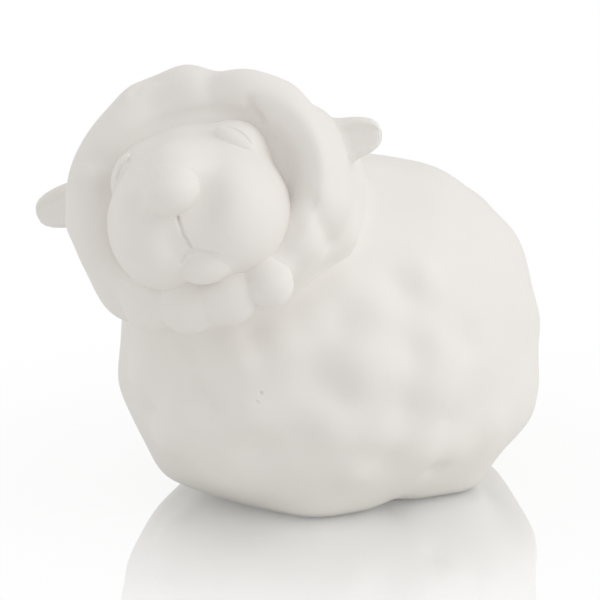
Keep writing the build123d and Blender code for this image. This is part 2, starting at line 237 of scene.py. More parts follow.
class Clay:
    """A closed skin of clay, in millimetres, that starts as a ball of radius 1."""

    # Lines with at least this half width need no finer skin
    coarse_line: float = 1.5
    # Beside the others the skin is divided twice, within these shares of their half width
    fine_margins: Pair = (4.0, 2.5)
    # An edge this short is fine enough
    fine_edge: float = 0.25
    # A point this near a cutting plane lies on it
    cut_slack: float = 1e-5

    def __init__(self, fineness: Fineness) -> None:
        """Roll the ball, with its skin divided this finely."""
        self.mesh = bmesh.new()
        bmesh.ops.create_icosphere(self.mesh, subdivisions=fineness.value, radius=1.0)

    @property
    def points(self) -> Points:
        """Return the places of the skin's points, one row each."""
        return np.array([vertex.co for vertex in self.mesh.verts])

    @points.setter
    def points(self, places: Points) -> None:
        """Move the skin's points.

        Args:
            places: Their new places, one row each.
        """
        for vertex, place in zip(self.mesh.verts, places):
            vertex.co = place
        self.mesh.normal_update()

    def tree(self) -> BVHTree:
        """Return the skin as something that rays and nearest-point searches can find."""
        return BVHTree.FromBMesh(self.mesh)

    def push(self, rises: Points) -> None:
        """Move each point outwards by its own rise."""
        normals = np.array([vertex.normal for vertex in self.mesh.verts])
        self.points = self.points + normals * rises[:, None]

    def turn_out(self) -> None:
        """Turn the faces of a mirrored skin outwards again."""
        bmesh.ops.reverse_faces(self.mesh, faces=self.mesh.faces)
        self.mesh.normal_update()

    def take_in(self, other: Clay) -> None:
        """Add another skin to this one.

        Args:
            other: The other skin, which is spent.
        """
        carried = bpy.data.meshes.new("carried")
        other.mesh.to_mesh(carried)
        other.mesh.free()
        self.mesh.from_mesh(carried)
        bpy.data.meshes.remove(carried)

    def dab(self, view: PhotoView, dabs: Mapping[str, Dab]) -> Points:
        """Raise and hollow the skin at named places.

        Args:
            view: The camera whose pixels say where.
            dabs: The touches, by the name of what each one models.

        Returns:
            The places of the touches, one row for each that meets the skin.
        """
        tree, points, rises = self.tree(), self.points, np.zeros(len(self.mesh.verts))
        places = []
        for name, touch in dabs.items():
            middle = view.seen_at(touch.pixel, tree)
            if middle is None:
                LOG.warning("nothing to model at %s", name)
                continue
            places.append(middle)
            rises += touch.rise * mound(points, middle, touch.radius)
        self.push(rises)
        return np.array(places).reshape(-1, 3)

    def swell(self, swells: Mapping[str, Swell], axes: HeadAxes | None = None) -> None:
        """Fill out and slacken the form at named places.

        Args:
            swells: The changes, by the name of what each one shapes.
            axes: What the places are given in, if not the sheep's own axes.
        """
        points = axes.local(self.points) if axes else self.points
        rises = np.zeros(len(points))
        for change in swells.values():
            rises += change.rise * mound(points, change.place, change.radius)
        self.push(rises)

    def refine(self, course: Sequence[Points], reach: float) -> None:
        """Divide the skin's edges once more beside a course, unless they are fine.

        Args:
            course: The ends of the course's straight runs, one after the other.
            reach: How far from the course the edges are divided.
        """
        edges = self.mesh.edges
        middles = np.array([(edge.verts[0].co + edge.verts[1].co) / 2 for edge in edges])
        near = zip(edges, off_course(middles, course) < reach)
        chosen = [edge for edge, wanted in near if wanted and edge.calc_length() > self.fine_edge]
        bmesh.ops.subdivide_edges(self.mesh, edges=chosen, cuts=1, use_grid_fill=True)
        bmesh.ops.triangulate(self.mesh, faces=self.mesh.faces)
        self.mesh.normal_update()

    def incise(self, view: PhotoView, incisions: Mapping[str, Incision]) -> None:
        """Cut named lines into the skin.

        Args:
            view: The camera whose pixels say where.
            incisions: The lines, by the name of what each one marks.
        """
        tree = self.tree()
        lines = []
        for line in incisions.values():
            seen = [view.seen_at(pixel, tree) for pixel in line.pixels]
            lines.append((line, [np.array(place) for place in seen if place is not None]))
        for line, course in lines:
            for margin in self.fine_margins if line.half_width < self.coarse_line else ():
                self.refine(course, margin * line.half_width)
        points = self.points
        depths = np.zeros(len(points))
        for line, course in lines:
            share = bell(off_course(points, course), line.half_width)
            depths = np.maximum(depths, line.depth * share)
        self.push(-depths)

    def lute(self, neighbour: BVHTree, reach: float | Points) -> None:
        """Smooth the joint to a neighbour, as a wet brush does: the skin lifts beside it.

        Args:
            neighbour: The other piece's skin.
            reach: How far from the neighbour the joint is smoothed, at each point or everywhere.
        """
        reaches = np.broadcast_to(np.asarray(reach, float), (len(self.mesh.verts),))
        rises = np.zeros(len(reaches))
        for index, vertex in enumerate(self.mesh.verts):
            width = float(reaches[index])
            if width <= 0:
                continue
            distance = neighbour.find_nearest(vertex.co, width)[3]
            if distance is not None:
                rises[index] = (width - distance) ** 2 / (4 * width)
        self.push(rises)

    def halved(self, place: Vector, outward: Vector) -> list[bmesh.types.BMEdge]:
        """Cut off what lies beyond a plane.

        Args:
            place: A place on the plane.
            outward: The direction from the plane to what is cut off.

        Returns:
            The edges of the cut.
        """
        whole = [*self.mesh.verts, *self.mesh.edges, *self.mesh.faces]
        plane = {"plane_co": place, "plane_no": outward, "dist": self.cut_slack}
        cut = bmesh.ops.bisect_plane(self.mesh, geom=whole, clear_outer=True, **plane)
        return [item for item in cut["geom_cut"] if isinstance(item, bmesh.types.BMEdge)]

    def edges_among(self, ends: Iterable[bmesh.types.BMVert]) -> list[bmesh.types.BMEdge]:
        """Return the edges that run between some of the skin's points."""
        wanted = set(ends)
        return [edge for edge in self.mesh.edges if wanted.issuperset(edge.verts)]


@dataclass(frozen=True)
class Bisque:
    """Slip-cast white earthenware after its first firing: unglazed, dry and chalky to the eye.

    The soft-fired body scatters light evenly with only a faint sheen, its tone drifts a little
    where the slip lay thicker, and the sponge that cleaned the seams leaves a very fine grain.
    """

    name: str = "slip_cast_bisque"
    body_colour: str = "#F1EEEA"
    thick_slip_colour: str = "#ECE8E3"
    roughness: float = 0.62
    roughness_drift: float = 0.06
    ior: float = 1.5
    # Each pattern's size in millimetres, its octaves of detail and how rough they are
    drift: Triple = (22.0, 3.0, 0.5)
    # The sponge's true grain is near 0.15 mm; it is drawn coarser so that it shows at this distance
    grain: Triple = (0.7, 2.0, 0.6)
    grain_depth: float = 0.018
    pores: Triple = (2.6, 4.0, 0.55)
    pore_depth: float = 0.03

    def made(self) -> bpy.types.Material:
        """Mix the finish.

        Returns:
            The material.
        """
        material = bpy.data.materials.new(self.name)
        tree = empty_tree(material)
        place = add_node(tree, "ShaderNodeTexCoord").outputs["Object"]
        drift, grain, pores = (
            add_node(
                tree,
                "ShaderNodeTexNoise",
                {"Vector": place, "Scale": 1 / (size * MM), "Detail": detail, "Roughness": rough},
            )
            for size, detail, rough in (self.drift, self.grain, self.pores)
        )
        tone = add_node(
            tree,
            "ShaderNodeMix",
            {"Factor": drift, "A": colour(self.body_colour), "B": colour(self.thick_slip_colour)},
            data_type="RGBA",
        )
        low, high = self.roughness - self.roughness_drift, self.roughness + self.roughness_drift
        dryness = add_node(
            tree, "ShaderNodeMapRange", {"Value": drift, "To Min": low, "To Max": high}
        )
        grained = add_node(
            tree, "ShaderNodeBump", {"Height": grain, "Distance": self.grain_depth * MM}
        )
        pitted = add_node(
            tree,
            "ShaderNodeBump",
            {"Height": pores, "Distance": self.pore_depth * MM, "Normal": grained},
        )
        surface = add_node(
            tree,
            "ShaderNodeBsdfPrincipled",
            {"Base Color": tone, "Roughness": dryness, "IOR": self.ior, "Normal": pitted},
        )
        add_node(tree, "ShaderNodeOutputMaterial", {"Surface": surface})
        return material


@dataclass(frozen=True)
class GlossTable:
    """White gloss laminate: it mirrors what stands on it, and mirror image and shadow fade away."""

    name: str = "white_gloss_laminate"
    paper: str = "#F2F2F0"
    mirror_roughness: float = 0.02
    haze_share: float = 0.24
    fade_start: float = 40.0
    fade_end: float = 195.0
    shadow_share: float = 0.12

    def made(self) -> bpy.types.Material:
        """Mix the finish, which fades round the middle of the table.

        Returns:
            The material.
        """
        material = bpy.data.materials.new(self.name)
        tree = empty_tree(material)
        place = add_node(tree, "ShaderNodeTexCoord").outputs["Object"]
        away = add_node(tree, "ShaderNodeVectorMath", {0: place}, operation="LENGTH")
        span = {"Value": away, "From Min": self.fade_start * MM, "From Max": self.fade_end * MM}
        fade, shade = (
            add_node(
                tree,
                "ShaderNodeMapRange",
                {**span, "To Min": near, "To Max": far},
                interpolation_type="SMOOTHSTEP",
            )
            for near, far in ((self.haze_share, 1.0), (self.shadow_share, 0.0))
        )
        white, rough = colour(WHITE), self.mirror_roughness
        mirror = add_node(tree, "ShaderNodeBsdfAnisotropic", {"Color": white, "Roughness": rough})
        glow = add_node(tree, "ShaderNodeEmission", {"Color": white, "Strength": 1.0})
        matt = add_node(tree, "ShaderNodeBsdfDiffuse", {"Color": colour(self.paper)})
        faded = add_node(tree, "ShaderNodeMixShader", {0: fade, 1: mirror, 2: glow})
        shaded = add_node(tree, "ShaderNodeMixShader", {0: shade, 1: faded, 2: matt})
        chosen = add_node(tree, "ShaderNodeMixShader", {0: looked_at(tree), 1: matt, 2: shaded})
        add_node(tree, "ShaderNodeOutputMaterial", {"Surface": chosen})
        return material


def empty_tree(owner: bpy.types.Material | bpy.types.World) -> bpy.types.NodeTree:
    """Start the node tree of a new material or world.

    Args:
        owner: The material or world.

    Returns:
        Its tree, with nothing in it yet.
    """
    owner.use_nodes = True
    owner.node_tree.nodes.clear()
    return owner.node_tree


def add_node(
    tree: bpy.types.NodeTree,
    kind: str,
    inputs: Mapping[str | int, object] | None = None,
    **settings: object,
) -> bpy.types.Node:
    """Add a node with its settings and links.

    Args:
        tree: The node tree that gets it.
        kind: The node's type.
        inputs: What each of its inputs gets: a value, or the node or output that feeds it.
        **settings: The node's own settings.

    Returns:
        The new node.
    """
    node = tree.nodes.new(kind)
    for name, value in settings.items():
        setattr(node, name, value)
    for key, value in (inputs or {}).items():
        named = [socket for socket in node.inputs if socket.name == key and socket.enabled]
        socket = named[0] if named else node.inputs[key]
        if isinstance(value, bpy.types.Node):
            value = next(output for output in value.outputs if output.enabled)
        if isinstance(value, bpy.types.NodeSocket):
            tree.links.new(value, socket)
        else:
            socket.default_value = value
    return node


def looked_at(tree: bpy.types.NodeTree) -> bpy.types.Node:
    """Tell what the camera sees, straight, mirrored or through glass.

    Args:
        tree: The node tree that gets the nodes.

    Returns:
        A node that gives 1 for what the camera sees and 0 for what only gets light.
    """
    rays = add_node(tree, "ShaderNodeLightPath").outputs
    seen = rays["Is Camera Ray"]
    for kind in ("Is Glossy Ray", "Is Transmission Ray"):
        seen = add_node(tree, "ShaderNodeMath", {0: seen, 1: rays[kind]}, operation="MAXIMUM")
    return seen


def colour(code: str) -> Quad:
    """Return an sRGB hex value as a linear colour.

    Args:
        code: The value, such as "#F1EEEA".

    Returns:
        Red, green, blue and an alpha of 1.
    """
    shares = [int(code[start : start + 2], 16) / 255 for start in (1, 3, 5)]
    linear = [
        share / 12.92 if share <= 0.04045 else ((share + 0.055) / 1.055) ** 2.4 for share in shares
    ]
    return (*linear, 1.0)


def put_object(name: str, data: bpy.types.ID) -> bpy.types.Object:
    """Put a new object in the scene.

    Args:
        name: The object's name.
        data: Its mesh, light or camera.

    Returns:
        The object.
    """
    thing = bpy.data.objects.new(name, data)
    bpy.context.scene.collection.objects.link(thing)
    return thing


def put_piece(skin: Clay, name: str, node: str, finish: bpy.types.Material) -> None:
    """Put a finished piece in the scene, in metres, where it rides on the sheep.

    Args:
        skin: The piece's skin.
        name: The piece's name.
        node: The CAD node that it stands for.
        finish: Its material.
    """
    bmesh.ops.scale(skin.mesh, vec=Vector((MM, MM, MM)), verts=skin.mesh.verts)
    for face in skin.mesh.faces:
        face.smooth = True
    mesh = bpy.data.meshes.new(name)
    skin.mesh.to_mesh(mesh)
    skin.mesh.free()
    mesh.set_sharp_from_angle(angle=math.radians(SHARP_DEGREES))
    mesh.materials.append(finish)
    piece = put_object(name, mesh)
    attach(piece, "root")
    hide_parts(node)
    LOG.info("%s stands for %s, %d faces", name, node, len(mesh.polygons))


@dataclass(frozen=True)
class Wool:
    """Low lumps spread over a fleece by the golden angle, each a little off its place and size."""

    count: int
    spread: float
    rise: float
    sway_share: float = 0.35
    size_share: float = 0.25
    sway_rhythms: tuple[int, int, int] = (5, 7, 9)
    size_rhythm: int = 11
    clearance: float = 9.0

    def lay(self, fleece: Clay, form: Callable[[Points], Points], pressed: Points) -> None:
        """Raise the lumps, apart from those beside a place that is dabbed.

        Args:
            fleece: The skin that gets them.
            form: Turns directions on a unit ball into places on the skin.
            pressed: The places that are dabbed.
        """
        sway = self.sway_share * math.sqrt(4 * math.pi / self.count)
        points, rises = fleece.points, np.zeros(len(fleece.mesh.verts))
        for index in range(self.count):
            height = 1 - (2 * index + 1) / self.count
            reach = math.sqrt(1 - height * height)
            bearing = GOLDEN_ANGLE * index
            straight = Vector((reach * math.cos(bearing), reach * math.sin(bearing), height))
            off = Vector([sway * math.sin(rhythm * index) for rhythm in self.sway_rhythms])
            middle = form(np.array([(straight + off).normalized()]))[0]
            size = 1 + self.size_share * math.sin(self.size_rhythm * index)
            if len(pressed) and np.linalg.norm(pressed - middle, axis=1).min() < self.clearance:
                continue
            rises += self.rise * size * mound(points, middle, self.spread * size)
        fleece.push(rises)


@dataclass
class Body:
    """The woolly body: a low egg on a flat foot, hollow inside, with its tail tuft."""

    view: PhotoView
    finish: bpy.types.Material
    half_width: float = 55.5
    half_length: float = 68.0
    widest_height: float = 39.0
    crown_rise: float = 57.5
    belly_drop: float = 48.0
    setback: float = 3.5
    wall: float = 5.0
    floor: float = 5.0
    crown_fullness: float = 2.2
    belly_fullness: float = 2.3
    pour_hole_radius: float = 8.0
    pour_hole_behind: float = 26.0
    pour_hole_edges: int = 96
    foot_edge_radius: float = 3.5
    # Half its width, length and height
    tail_radii: Triple = (8.5, 7.5, 10.0)
    tail_height: float = 42.0
    tail_lobes: int = 3
    tail_lobe_share: float = 0.12
    tail_lobe_turn: float = 0.6
    tail_lobe_start: float = 0.4
    joint: float = 4.0
    wool: Wool = Wool(count=84, spread=9.5, rise=1.5)
    dabs: dict[str, Dab] = kept({
        "chin lump": Dab((283, 347), 7.5, 1.9),
        "great flank lump": Dab((363, 364), 10, 2.6),
        "small breast ridge": Dab((243, 364), 5, 1.8),
        "shoulder lump": Dab((378, 306), 7.5, 1.6),
        "back ridge, upper": Dab((420, 270), 6, 1.4),
        "back ridge, lower": Dab((428, 284), 5.5, 1.3),
        "rear flank lump": Dab((439, 350), 7.5, 2.1),
        "neck lump": Dab((344, 284), 6.5, 1.3),
        "low neck lump": Dab((322, 315), 6.5, 1.2),
        "low flank lump": Dab((332, 429), 8, 1.8),
        "low small lump": Dab((352, 473), 5.5, 1.6),
        "haunch lump": Dab((423, 451), 8, 1.8),
        "belly lump": Dab((380, 438), 6.5, 1.5),
        "rear haunch lump": Dab((456, 448), 6.5, 1.4),
        "rump lump": Dab((489, 423), 6.5, 1.4),
        "breast lump": Dab((185, 422), 9, 2.3),
        "low breast lump": Dab((216, 466), 9, 1.9),
        "breast side lump": Dab((167, 442), 5.5, 1.9),
        "high breast lump": Dab((145, 366), 9, 1.9),
        "breast rib": Dab((248, 419), 7.5, 1.8),
        "hollow before the flank": Dab((320, 380), 7.5, -1.9),
        "hollow below the flank": Dab((340, 397), 5.5, -1.4),
        "hollow by the back ridge": Dab((397, 288), 6, -1.5),
        "hollow before the rear": Dab((413, 350), 6, -1.8),
        "hollow behind the rear": Dab((468, 343), 6, -1.6),
        "hollow under the curls": Dab((252, 335), 5, -1.5),
        "hollow on the breast": Dab((195, 350), 5, -1.4),
        "breast groove, upper": Dab((204, 388), 5, -1.9),
        "breast groove, lower": Dab((217, 407), 5, -2.2),
        "low breast hollow": Dab((258, 450), 6.5, -2.2),
        "belly hollow": Dab((299, 444), 6.5, -1.2),
        "breast edge hollow": Dab((151, 411), 4, -1.8),
        "haunch crease": Dab((434, 469), 3.5, -1.5),
        "hollow by the haunch": Dab((388, 463), 6, -1.5),
        "rear hollow": Dab((446, 419), 5.5, -1.2),
        "middle hollow": Dab((405, 406), 5.5, -1.2),
        "hollow below the neck": Dab((339, 325), 5.5, -1.1),
    })
    feet: dict[str, Swell] = kept({
        "front foot, left": Swell((26, -32, 0), 11, 5),
        "front foot, right": Swell((-31, -20, 0), 10, 2),
        "hind foot, left": Swell((39, 17, 0), 10, 4.5),
        "hind foot, right": Swell((-37, 20, 0), 10, 4.5),
        "notch between feet, left": Swell((34, -9, 0), 6, -2),
        "tucked breast, right": Swell((-28, -37, 2), 13, -4),
        "tucked rump, left": Swell((32, 40, 2), 12, -4.5),
    })
    air_holes: dict[str, Incision] = kept({
        "upper air hole": Incision(((260.8, 393), (261.2, 393)), 0.4, 0.8),
        "lower air hole": Incision(((256.8, 402), (257.2, 402)), 0.35, 0.6),
    })

    def egg(self, directions: Points) -> Points:
        """Lay out the plain egg, before any wool.

        Args:
            directions: Directions on a unit ball, one row each.

        Returns:
            Their places on the egg.
        """
        across, along, height = directions.T
        above = height > 0
        fullness = np.where(above, self.crown_fullness, self.belly_fullness)
        level = self.widest_height + height * np.where(above, self.crown_rise, self.belly_drop)
        width = (1 - np.abs(height) ** fullness) ** (1 / fullness)
        grown = width / np.maximum(np.sqrt(np.maximum(1 - height**2, 0)), TINY)
        back = np.where(above, 0, self.setback * (1 - level / self.widest_height))
        out = self.half_width * across * grown
        return np.stack((out, self.half_length * along * grown + back, level), axis=1)

    def shaped(self) -> Clay:
        """Model the body, not yet cut flat.

        Returns:
            Its skin.
        """
        skin = Clay(Fineness.SHELL)
        skin.points = self.egg(skin.points)
        self.wool.lay(skin, self.egg, skin.dab(self.view, self.dabs))
        skin.swell(self.feet)
        skin.incise(self.view, self.air_holes)
        return skin

    def shaped_tail(self) -> Clay:
        """Model the tail tuft.

        Returns:
            Its skin.
        """
        skin = Clay(Fineness.SPRIG)
        across, along, height = skin.points.T
        lobes = np.sin(self.tail_lobes * np.arctan2(height, across) + self.tail_lobe_turn)
        curl = 1 + self.tail_lobe_share * lobes * np.clip(along + self.tail_lobe_start, 0, 1)
        local = np.stack((across * curl, along, height * curl), axis=1)
        skin.points = local * self.tail_radii + (0, self.half_length, self.tail_height)
        return skin

    def stand(self, skin: Clay) -> None:
        """Round the foot's edge, cut the body flat, hollow it and open its pour hole.

        Args:
            skin: The body's skin.
        """
        points, mesh, down = skin.points, skin.mesh, Vector((0, 0, -1))
        reach = np.maximum(np.linalg.norm(points[:, :2], axis=1), TINY)
        under = np.clip(1 - points[:, 2] / self.foot_edge_radius, 0, 1)
        inset = self.foot_edge_radius * (1 - np.sqrt(1 - under**2))
        points[:, :2] -= points[:, :2] / reach[:, None] * inset[:, None]
        skin.points = points
        outer_rim = skin.halved(Vector((0, 0, 0)), down)
        hole = Matrix.Translation((0, self.pour_hole_behind, 0))
        ring = bmesh.ops.create_circle(
            mesh, segments=self.pour_hole_edges, radius=self.pour_hole_radius, matrix=hole
        )["verts"]
        hole_rim = skin.edges_among(ring)
        bmesh.ops.bridge_loops(mesh, edges=outer_rim + hole_rim)
        drawn = bmesh.ops.extrude_edge_only(mesh, edges=hole_rim)["geom"]
        raised = [item for item in drawn if isinstance(item, bmesh.types.BMVert)]
        bmesh.ops.translate(mesh, verts=raised, vec=Vector((0, 0, self.floor)))
        top_rim = skin.edges_among(raised)
        cavity = Clay(Fineness.COARSE)
        outer, middle = self.egg(cavity.points), np.array((0, 0, self.widest_height))
        cavity.points = outer - (outer - middle) * (self.wall / self.half_width)
        cavity.halved(Vector((0, 0, self.floor)), down)
        cavity.turn_out()
        known = set(mesh.edges)
        skin.take_in(cavity)
        inner_rim = [edge for edge in mesh.edges if edge not in known and edge.is_boundary]
        bmesh.ops.bridge_loops(mesh, edges=top_rim + inner_rim)

    def dress(self, skin: Clay, tail: Clay) -> None:
        """Put the finished body and tail in the scene.

        Args:
            skin: The body's skin, not yet cut flat.
            tail: The tail tuft's skin.
        """
        self.stand(skin)
        put_piece(skin, "woolly_body", "body_fleece", self.finish)
        put_piece(tail, "tail_tuft", "tail", self.finish)


@dataclass
class Hood:
    """The wool round the face: a dome with a thick rolled rim, its ears and the chin curls."""

    view: PhotoView
    axes: HeadAxes
    finish: bpy.types.Material
    half_width: float = 42.0
    half_height: float = 37.0
    widest_behind: float = 7.0
    back_depth: float = 40.0
    front_depth: float = 24.0
    roll_depth: float = 19.0
    crest_share: float = 0.8
    seat_share: float = 0.54
    profile_steps: int = 60
    smooth_passes: int = 3
    smooth_share: float = 0.5
    # On the sheep's left, on its right, above and below
    crest_shifts: Quad = (2.5, 0.0, -4.5, 0.0)
    seat_shifts: Quad = (3.5, 0.0, 0.0, 0.0)
    crest_drops: Quad = (3.0, 1.0, 2.0, 1.0)
    seat_drops: Quad = (5.2, 3.2, 1.2, 3.0)
    ear_tip_out: float = 53.3
    ear_root_out: float = 33.0
    ear_rises: Pair = (5.6, 7.4)
    ear_depth: float = 4.0
    ear_half_height: float = 7.0
    ear_half_depth: float = 5.4
    # The leaf's outline: its width as a share, at shares of the way from root to tip
    ear_stations: tuple[float, ...] = (0, 0.23, 0.51, 0.65, 0.79, 0.9, 0.96, 1)
    ear_widths: tuple[float, ...] = (1.0, 1.0, 0.92, 0.85, 0.74, 0.58, 0.4, 0.0)
    scoop_out: float = 47.25
    scoop_drop: float = 0.8
    scoop_half_length: float = 9.5
    scoop_half_height: float = 4.6
    scoop_depth: float = 3.2
    # At the tip the scoop keeps at least this share of its height
    scoop_least_share: float = 0.2
    ear_joint: float = 3.0
    curl_count: int = 4
    curl_radii: Triple = (8.2, 8.0, 5.0)
    last_curl_radii: Triple = (6.6, 6.8, 6.0)
    last_curl_drop: float = 2.4
    curl_depths: Quad = (20.0, 21.8, 22.6, 21.5)
    curl_first_degrees: float = -31.0
    curl_pitch_degrees: float = 19.0
    curl_ring_share: float = 0.91
    curl_joint: float = 4.0
    # The joints between one curl and the next, from the sheep's right
    curl_gaps: Triple = (3.5, 6.0, 1.0)
    last_curl_joint: float = 5.5
    wool: Wool = Wool(count=46, spread=7.0, rise=1.8)
    swells: dict[str, Swell] = kept({
        "slack crown, left": Swell((34, 23, -4), 13, -5),
        "full crown, right": Swell((-14, 39, 2), 9, 3),
        "slack crown, middle": Swell((10, 38, 4), 15, -5),
        "slack under the right ear": Swell((-44, -5, 2), 9, -3.5),
        "full cheek, right": Swell((-38, -30, 4), 13, 7.5),
    })
    dabs: dict[str, Dab] = kept({
        "crown lump, right": Dab((152, 78), 8, 2),
        "brow lump, right": Dab((132, 92), 6, 1.4),
        "crown lump, middle": Dab((250, 78), 9, 1.6),
        "slack crown lump": Dab((190, 70), 8, -1.2),
        "middle brow lump": Dab((188, 88), 6, 0.8),
        "left eye lump": Dab((236, 86), 6.5, 0.8),
        "small temple lump": Dab((98, 150), 4.5, 0.8),
        "right eye lump": Dab((128, 128), 6, 0.8),
        "left ear lump": Dab((318, 150), 8, 0.8),
        "temple lump": Dab((112, 137), 7.5, 0.7),
        "ear root lump": Dab((84, 173), 7, 1),
        "rim lump, left": Dab((341, 208), 6.5, 2.2),
        "low rim lump, left": Dab((309, 248), 6, 1.8),
        "high rim lump, left": Dab((300, 110), 9, 0.6),
        "rim lump, right cheek": Dab((92, 255), 8, 1.2),
        "hollow over the brow": Dab((156, 101), 6, -1.8),
        "hollow over the eye": Dab((232, 106), 4, -0.6),
        "deep hollow by the eye": Dab((255, 112), 4, -1),
        "hollow before the ear": Dab((95, 160), 4, -1.6),
        "hollow under the ear": Dab((82, 190), 4, -1.4),
        "hollow by the cheek": Dab((107, 190), 4, -1.5),
    })
    folds: dict[str, Incision] = kept({
        "valley on the crown": Incision(((208, 72), (210, 88), (214, 104)), 3.2, 1),
        "fold on the crown": Incision(((134, 91), (142, 84), (152, 80), (162, 78)), 1.5, 0.8),
        "fold beside the eye": Incision(((250, 102), (254, 111), (261, 121)), 1.6, 1.3),
        "hollow in the rim": Incision(((313, 204), (322, 225), (331, 244)), 3, 1.4),
    })

    def form(self, directions: Points) -> Points:
        """Lay out the plain hood, before any wool.

        Args:
            directions: Directions on a unit ball, one row each.

        Returns:
            Their places on the hood, in the head's axes.
        """
        steps = np.linspace(0, 1, self.profile_steps)
        back, roll = np.radians(-90 * (1 - steps)), np.radians(90 * steps)
        dome = (self.back_depth - self.widest_behind) * np.sin(back) - self.widest_behind
        rolled = self.crest_share + (1 - self.crest_share) * np.cos(roll)
        ledge = self.crest_share + (self.seat_share - self.crest_share) * steps
        rim = self.front_depth - self.roll_depth * (1 - np.sin(roll))
        shares = np.concatenate((np.cos(back), rolled, ledge, [0]))
        depths = np.concatenate((dome, rim, np.full(len(steps) + 1, self.front_depth)))
        run = np.hypot(np.diff(shares) * self.half_width, np.diff(depths))
        course = np.concatenate(([0], np.cumsum(run)))
        out, rise, depth = directions.T
        travel = np.arccos(np.clip(-depth, -1, 1)) / math.pi * course[-1]
        share = np.interp(travel, course, shares)
        flat = np.maximum(np.hypot(out, rise), TINY)
        leftward, upward = out / flat, rise / flat
        weights = [np.maximum(side, 0) ** 2 for side in (leftward, -leftward, upward, -upward)]

        def around(sizes: tuple[float, ...]) -> Points:
            """Return the size at each point, from those on the four sides."""
            return sum(weight * size for weight, size in zip(weights, sizes))

        inward = np.clip((self.crest_share - share) / (self.crest_share - self.seat_share), 0, 1)
        inward = np.where(depth > 0, inward, 0)
        turned_in = eased(inward, 0, 1)
        front = np.where(depth > 0, eased(-share, -1.0, -self.crest_share), 0)
        fall = around(self.seat_drops) * turned_in + around(self.crest_drops) * front
        covered = np.minimum(share / self.seat_share, 1)
        widened = around(self.crest_shifts) * (1 - turned_in)
        widened = (widened + around(self.seat_shifts) * turned_in * covered) * front
        across = (self.half_width * share + widened) * leftward
        high = (self.half_height * share + widened) * upward
        return np.stack((across, high, np.interp(travel, course, depths) - fall), axis=1)

    def placed_form(self, directions: Points) -> Points:
        """Return directions on a unit ball as places on the plain hood, on the sheep."""
        return self.axes.placed(self.form(directions))

    def shaped(self) -> Clay:
        """Model the hood.

        Returns:
            Its skin.
        """
        skin = Clay(Fineness.SHELL)
        skin.points = self.placed_form(skin.points)
        settings = dict.fromkeys(("use_axis_x", "use_axis_y", "use_axis_z"), True)
        settings["factor"] = self.smooth_share
        for _ in range(self.smooth_passes):
            bmesh.ops.smooth_vert(skin.mesh, verts=skin.mesh.verts, **settings)
        skin.mesh.normal_update()
        skin.swell(self.swells, self.axes)
        self.wool.lay(skin, self.placed_form, skin.dab(self.view, self.dabs))
        skin.incise(self.view, self.folds)
        return skin

    def shaped_ear(self, side: int) -> Clay:
        """Return one ear's skin: a leaf with a scooped front.

        Args:
            side: 1 for the sheep's left ear and -1 for its right.

        Returns:
            The skin.
        """
        skin = Clay(Fineness.SPRIG)
        out, up, depth = skin.points.T
        station = (out + 1) / 2
        width = np.interp(station, self.ear_stations, self.ear_widths)
        flat = np.maximum(np.hypot(up, depth), TINY)
        along = self.ear_root_out + (self.ear_tip_out - self.ear_root_out) * station
        high = self.ear_half_height * width * up / flat
        scoop_height = self.scoop_half_height * np.maximum(width, self.scoop_least_share)
        lengthwise = ((along - self.scoop_out) / self.scoop_half_length) ** 4
        scooped = np.exp(-lengthwise - ((high + self.scoop_drop) / scoop_height) ** 4)
        thick = self.ear_half_depth * width * depth / flat
        thick = thick - np.where(depth > 0, self.scoop_depth * scooped * width, 0)
        rise = self.ear_rises[SIDES.index(side)] + high
        local = np.stack((side * along, rise, self.ear_depth + thick), axis=1)
        skin.points = self.axes.placed(local)
        if side < 0:
            skin.turn_out()
        return skin

    def shaped_curls(self) -> list[Clay]:
        """Model the chin curls.

        Returns:
            Their skins, from the sheep's right to its left.
        """
        curls = []
        for index in range(self.curl_count):
            angle = math.radians(self.curl_first_degrees + self.curl_pitch_degrees * index)
            out = self.half_width * self.curl_ring_share * math.sin(angle)
            rise = -self.half_height * self.curl_ring_share * math.cos(angle)
            last = index == self.curl_count - 1
            radii = self.last_curl_radii if last else self.curl_radii
            middle = (out, rise - (self.last_curl_drop if last else 0), self.curl_depths[index])
            curl = Clay(Fineness.SPRIG)
            curl.points = self.axes.placed(curl.points * radii + middle)
            curls.append(curl)
        return curls

    def dress(self, skin: Clay, ears: Sequence[Clay], curls: Sequence[Clay]) -> None:
        """Put the finished hood, ears and curls in the scene.

        Args:
            skin: The hood's skin.
            ears: The skins of the left and the right ear.
            curls: The skins of the curls.
        """
        put_piece(skin, "woolly_hood", "head_fleece", self.finish)
        put_piece(ears[0], "leaf_ear_left", "left_ear", self.finish)
        put_piece(ears[1], "leaf_ear_right", "right_ear", self.finish)
        row, *others = curls
        for curl in others:
            row.take_in(curl)
        put_piece(row, "chin_wool_curls", "chin_curls", self.finish)


@dataclass(frozen=True)
class Ball:
    """One ball of clay in a modelled form, in the head's axes."""

    middle: Triple
    radii: Triple


